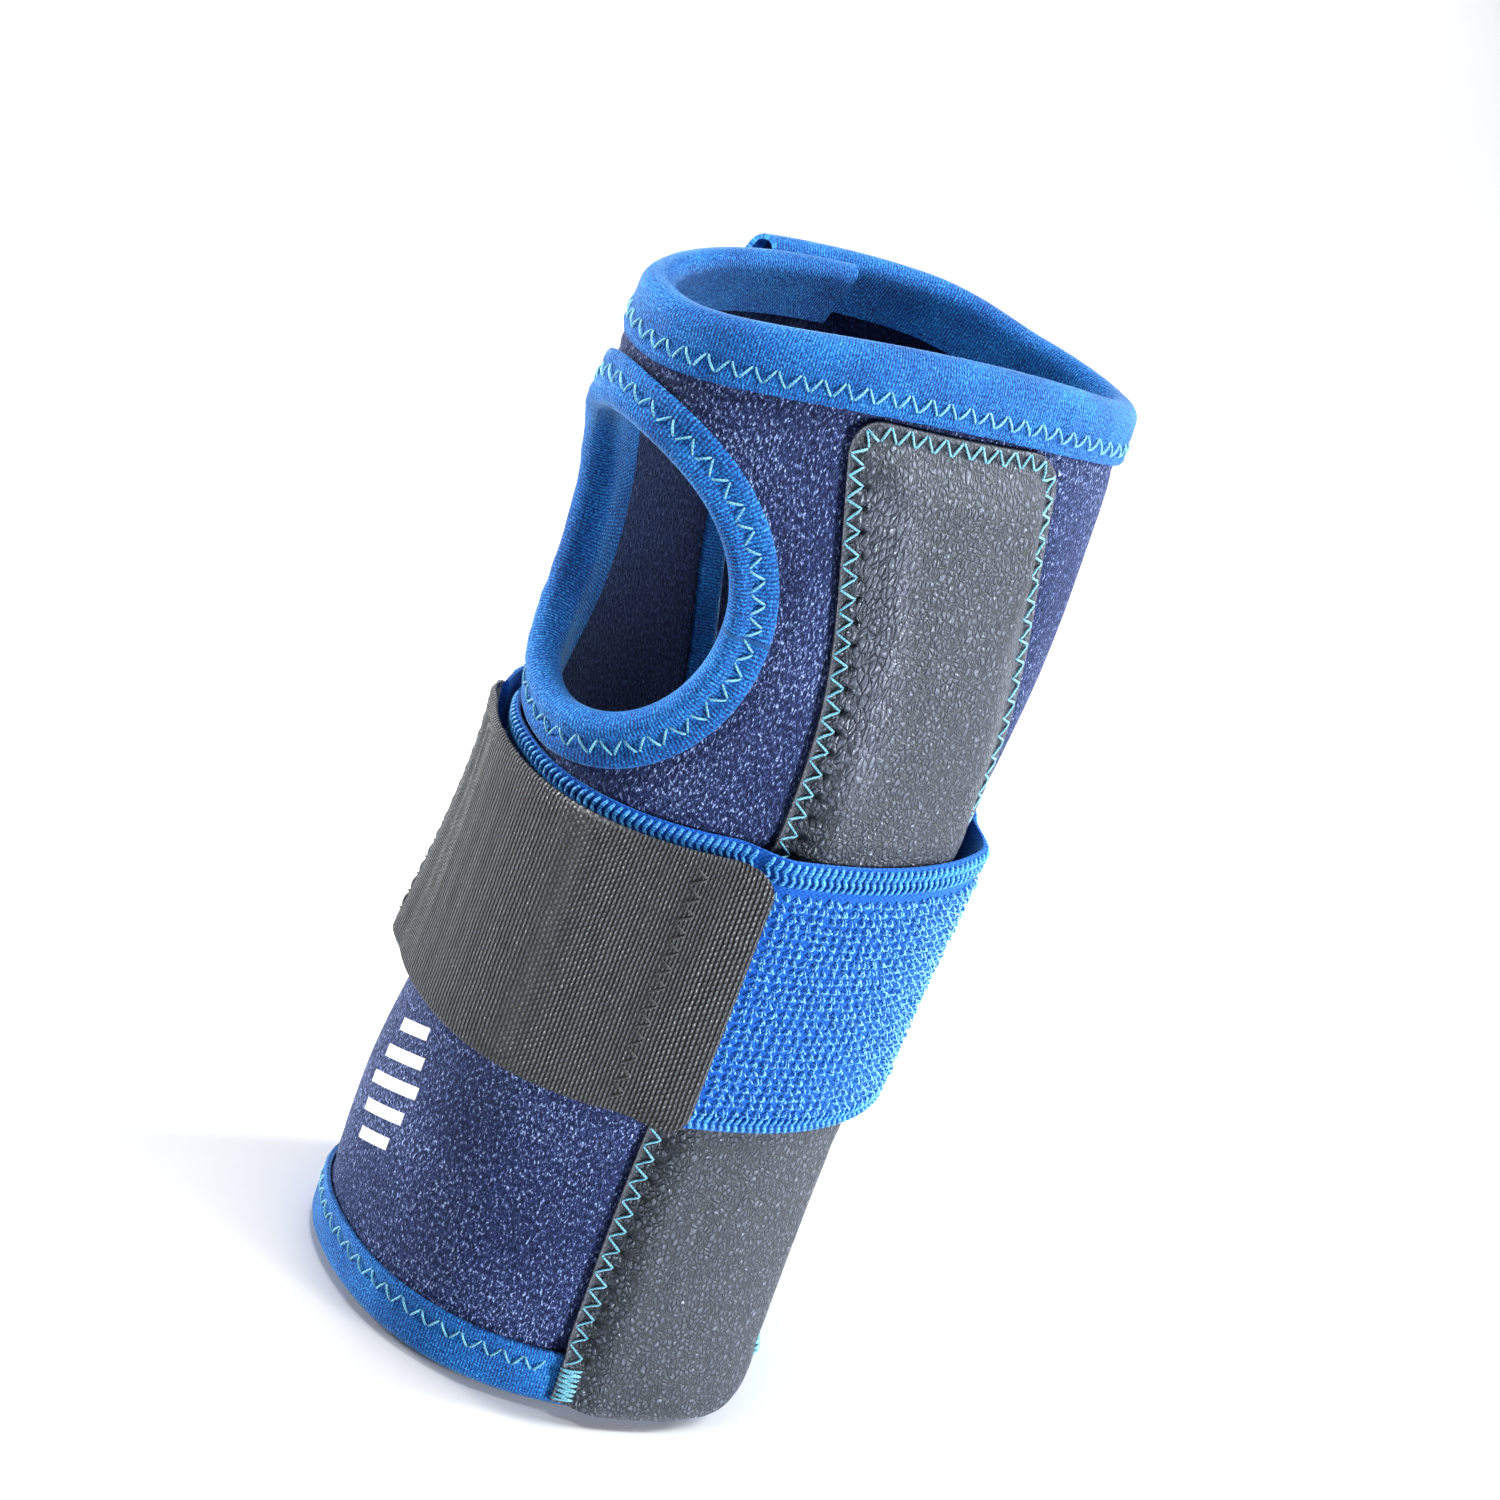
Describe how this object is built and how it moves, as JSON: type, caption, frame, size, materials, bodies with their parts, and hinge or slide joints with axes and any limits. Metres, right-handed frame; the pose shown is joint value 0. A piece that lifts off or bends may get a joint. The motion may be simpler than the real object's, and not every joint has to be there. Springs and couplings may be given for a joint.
{
  "type": "wrist splint",
  "caption": "Wrap-around neoprene wrist splint with thumb opening, palmar stay pocket and hook-and-loop wrist strap.",
  "frame": {"origin": "centre of the splint's outline in X and Y, at the bottom of the forearm hem that it stands on", "axes": "+Z from the forearm hem to the hand hem, -Y the palm side, +Y the back of the hand, -X the thumb side, +X the little-finger side"},
  "size_m": [0.0954, 0.085, 0.187],
  "materials": {
    "navy_neoprene": "heathered jersey-faced neoprene",
    "blue_binding": "brushed stretch binding",
    "leatherette": "pebble-grained, semi-gloss",
    "thread": "twisted polyester thread",
    "loop_pile": "loop pile tape",
    "grey_tab": "fine ribbed woven back",
    "hook_tape": "moulded hook",
    "stay_metal": "satin"
  },
  "bodies": {
    "brace": {"thumb_side_panel": "navy_neoprene", "palm_panel": "navy_neoprene", "little_finger_side_panel": "navy_neoprene", "thumb_hole_binding": "blue_binding", "stay_pocket_cover": "leatherette", "forearm_hem_binding": "blue_binding", "hand_hem_binding": "blue_binding", "underlap_edge_binding": "blue_binding", "strap_palm_turn": "loop_pile", "pocket_stitch_thumb_side": "thread", "pocket_stitch_little_finger_side": "thread", "pocket_bartack_thumb_side": "thread", "pocket_bartack_little_finger_side": "thread", "thumb_hole_stitch": "thread", "forearm_hem_stitch": "thread", "forearm_hem_stitch_little_finger_side": "thread", "hand_hem_stitch": "thread"},
    "stay": {"palmar_stay": "stay_metal"},
    "strap_back": {"strap_back_turn": "loop_pile"},
    "strap_tab": {"strap_tab_face": "grey_tab", "strap_hook_patch": "hook_tape"},
    "dorsal_flap": {"dorsal_flap_panel": "navy_neoprene", "flap_forearm_hem_binding": "blue_binding", "flap_hand_hem_binding": "blue_binding", "flap_edge_binding": "blue_binding", "flap_hook_strip": "hook_tape"}
  },
  "joints": [
    {"name": "strap_unwrap", "type": "hinge", "parent": "brace", "child": "strap_back", "pos_m": [0.03632, 0.01491, 0.083], "axis": [-0.0137, -0.0549, -0.9984], "range_deg": [0, 80]},
    {"name": "tab_peel", "type": "hinge", "parent": "strap_back", "child": "strap_tab", "pos_m": [-0.02488, 0.03121, 0.083], "axis": [-0.0137, -0.0549, -0.9984], "range_deg": [0, 144]},
    {"name": "flap_open", "type": "hinge", "parent": "brace", "child": "dorsal_flap", "pos_m": [0.03709, 0.01421, 0], "axis": [-0.0137, -0.0549, -0.9984], "range_deg": [0, 50]},
    {"name": "stay_slide", "type": "hinge", "parent": "brace", "child": "stay", "pos_m": [0, 0.66021, -0.0105], "axis": [1, 0, 0], "range_deg": [0, 14]}
  ],
  "couplings": [
    {"joint": "tab_peel", "follows": "strap_unwrap", "ratio": 1.8},
    {"joint": "flap_open", "follows": "strap_unwrap", "ratio": 0.625}
  ]
}
